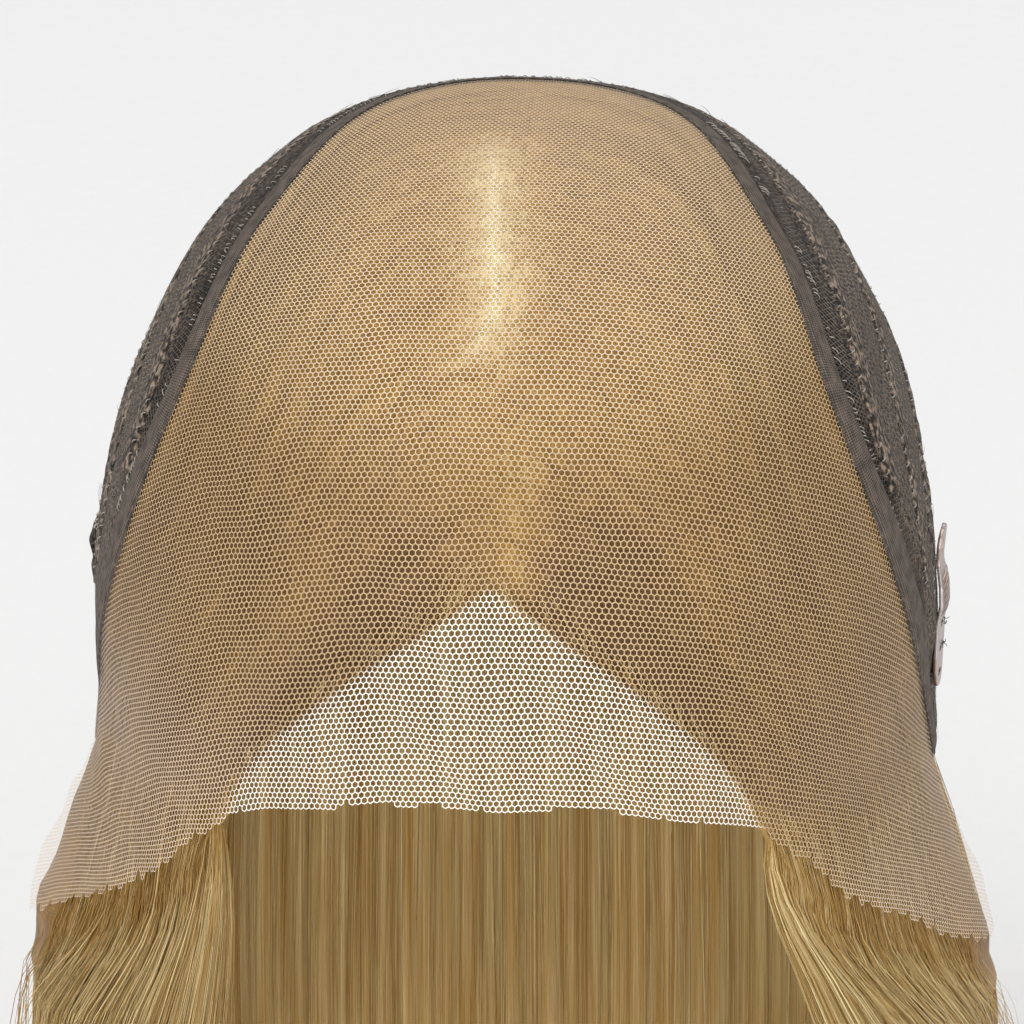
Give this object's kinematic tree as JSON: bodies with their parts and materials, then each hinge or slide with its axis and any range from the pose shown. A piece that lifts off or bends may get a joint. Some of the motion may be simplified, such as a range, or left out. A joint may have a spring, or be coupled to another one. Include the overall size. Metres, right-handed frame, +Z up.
{
  "type": "lace front human hair wig, turned inside out",
  "caption": "Wig shown net side out: hexagon lace front with pinked ear tabs, taped seam, dark wefted back cap, sewn steel clip and straight golden-brown hair hanging from inside.",
  "frame": {"origin": "top of the scalp that the wig sits on, under the hair at the crown", "axes": "+Z up out of the crown, front of the wig facing -Y, +X to the right as seen from the front"},
  "size_m": [0.1964, 0.1977, 0.3063],
  "materials": {
    "lace": "tan hexagon net",
    "cap_net": "dark stretch net",
    "tape": "ribbed grey-brown ribbon",
    "weft": "sewn hair weft",
    "steel": "stamped spring steel",
    "hair": "straight golden-brown hair"
  },
  "bodies": {
    "root": {"lace_front": "lace", "cap_back": "cap_net", "seam_tape": "tape", "edge_tab": "cap_net", "side_clip": "steel", "hair_left": "hair", "hair_right": "hair", "hair_back": "hair", "weft_01": "weft", "weft_02": "weft", "weft_03": "weft", "weft_04": "weft", "weft_05": "weft", "weft_06": "weft", "weft_07": "weft", "weft_08": "weft"}
  },
  "joints": []
}
